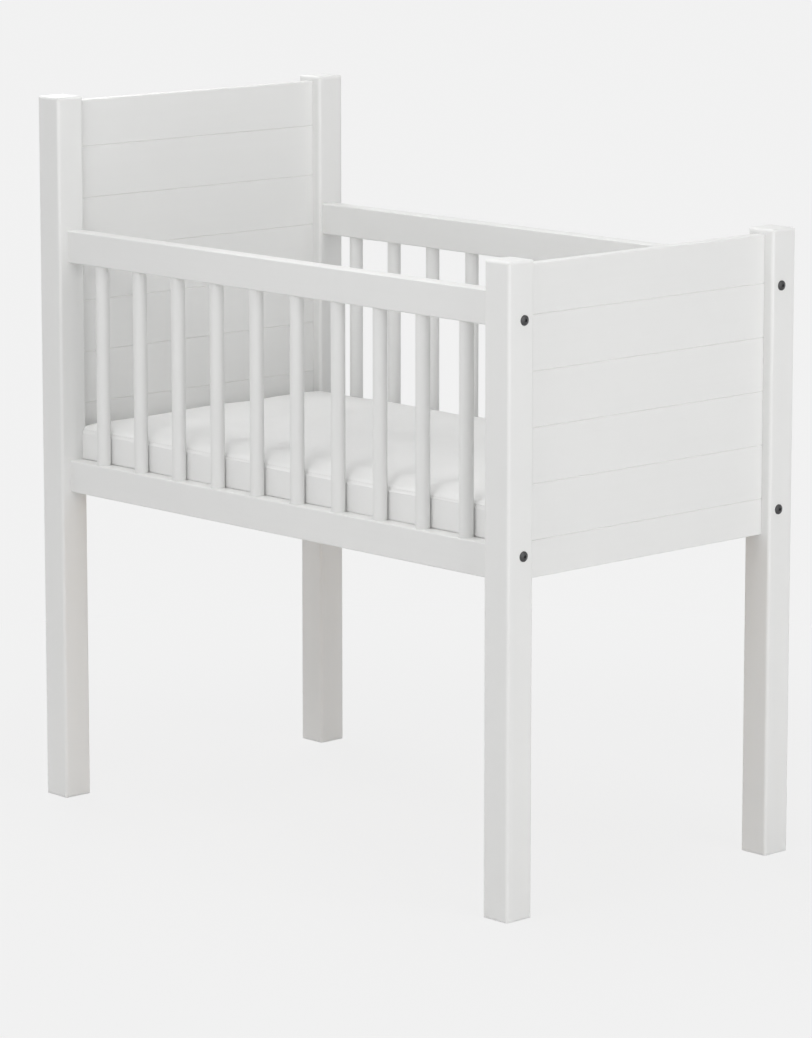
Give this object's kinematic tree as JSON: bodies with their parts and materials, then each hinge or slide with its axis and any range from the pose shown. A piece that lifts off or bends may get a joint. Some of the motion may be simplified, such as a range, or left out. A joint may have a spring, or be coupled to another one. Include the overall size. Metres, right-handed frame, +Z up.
{
  "type": "cradle",
  "caption": "White wooden cradle on straight legs, with a high grooved head end, a lower foot end, round side slats, dark bolt heads, a slatted base and a thin mattress",
  "frame": {"origin": "on the floor, under the middle of the cradle's bounding box", "axes": "+X runs along the cradle from the high head end to the low foot end, +Y across it from the front side to the back side, +Z up"},
  "size_m": [0.8846, 0.5, 0.936],
  "materials": {
    "white_paint": "satin",
    "black_metal": "satin",
    "bright_steel": "satin",
    "bare_wood": "matte",
    "white_fabric": "matte"
  },
  "bodies": {
    "frame": {"post_head_front": "white_paint", "post_head_back": "white_paint", "post_foot_front": "white_paint", "post_foot_back": "white_paint", "head_panel": "white_paint", "foot_panel": "white_paint", "bottom_rail_front": "white_paint", "bottom_rail_back": "white_paint", "top_rail_front": "white_paint", "top_rail_back": "white_paint", "slat_front_1": "white_paint", "slat_front_2": "white_paint", "slat_front_3": "white_paint", "slat_front_4": "white_paint", "slat_front_5": "white_paint", "slat_front_6": "white_paint", "slat_front_7": "white_paint", "slat_front_8": "white_paint", "slat_front_9": "white_paint", "slat_front_10": "white_paint", "slat_back_1": "white_paint", "slat_back_2": "white_paint", "slat_back_3": "white_paint", "slat_back_4": "white_paint", "slat_back_5": "white_paint", "slat_back_6": "white_paint", "slat_back_7": "white_paint", "slat_back_8": "white_paint", "slat_back_9": "white_paint", "slat_back_10": "white_paint", "connector_bolts": "black_metal", "threaded_inserts": "bright_steel", "locating_dowels": "bare_wood", "ledger_front": "bare_wood", "ledger_back": "bare_wood", "ledger_screws": "bright_steel"},
    "base": {"base_slat_1": "bare_wood", "base_slat_2": "bare_wood", "base_slat_3": "bare_wood", "base_slat_4": "bare_wood", "base_slat_5": "bare_wood", "base_slat_6": "bare_wood", "base_slat_7": "bare_wood", "base_slat_8": "bare_wood", "base_slat_9": "bare_wood", "base_bearer_front": "bare_wood", "base_bearer_back": "bare_wood", "base_screws": "bright_steel"},
    "mattress": {"mattress": "white_fabric"}
  },
  "joints": [
    {"name": "base_lift", "type": "slide", "parent": "frame", "child": "base", "axis": [0, 0, 1], "range_m": [0, 0.36]},
    {"name": "mattress_lift", "type": "slide", "parent": "base", "child": "mattress", "axis": [0, 0, 1], "range_m": [0, 0.36]}
  ]
}
